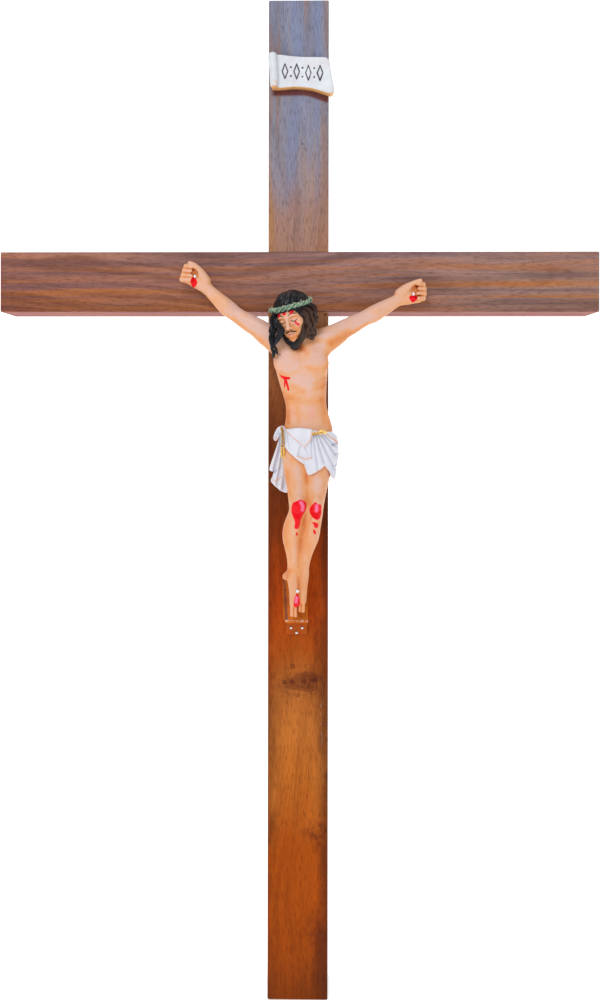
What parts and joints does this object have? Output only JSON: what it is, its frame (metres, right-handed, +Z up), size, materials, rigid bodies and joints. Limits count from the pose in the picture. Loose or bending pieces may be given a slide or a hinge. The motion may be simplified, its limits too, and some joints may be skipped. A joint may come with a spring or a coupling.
{
  "type": "processional cross with corpus",
  "caption": "Wooden processional cross with a painted cast corpus, scroll plaque, wedge footrest, staff socket in the foot and a hanging ring behind.",
  "frame": {"origin": "middle of the upright's foot end face, at the mouth of the staff socket", "axes": "+Z up the upright, +X towards the viewer's right when facing the figure, +Y towards the back; the figure faces -Y"},
  "size_m": [0.548, 0.0977, 0.914],
  "materials": {
    "walnut": "satin lacquer over stained walnut",
    "painted_resin": "satin hand-painted cast stone",
    "crown_paint": "satin hand-painted cast stone",
    "footrest_paint": "satin painted wood",
    "scroll_paint": "satin hand-painted cast stone",
    "steel": "bright steel",
    "brass": "lacquered brass"
  },
  "bodies": {
    "cross": {"upright_beam": "walnut", "crossbar_beam": "walnut", "lap_screw_1": "brass", "lap_screw_2": "brass", "lap_screw_3": "brass", "lap_screw_4": "brass", "corpus_body": "painted_resin", "corpus_right_arm": "painted_resin", "corpus_left_arm": "painted_resin", "right_shoulder_dowel": "steel", "left_shoulder_dowel": "steel", "crown_of_thorns": "crown_paint", "right_hand_nail": "steel", "left_hand_nail": "steel", "feet_nail": "steel", "footrest": "footrest_paint", "footrest_pin_1": "steel", "footrest_pin_2": "steel", "footrest_pin_3": "steel", "titulus_scroll": "scroll_paint", "titulus_pin_1": "steel", "titulus_pin_2": "steel", "corpus_back_screw": "steel", "hanger_strap": "brass", "hanger_screw_1": "brass", "hanger_screw_2": "brass", "staff_socket": "brass", "socket_screw": "brass"},
    "hanging_ring": {"hanger_ring": "brass"}
  },
  "joints": [
    {"name": "ring_swing", "type": "hinge", "parent": "cross", "child": "hanging_ring", "pos_m": [0, 0.0226, 0.868], "axis": [1, 0, 0], "range_deg": [0, 180]}
  ]
}
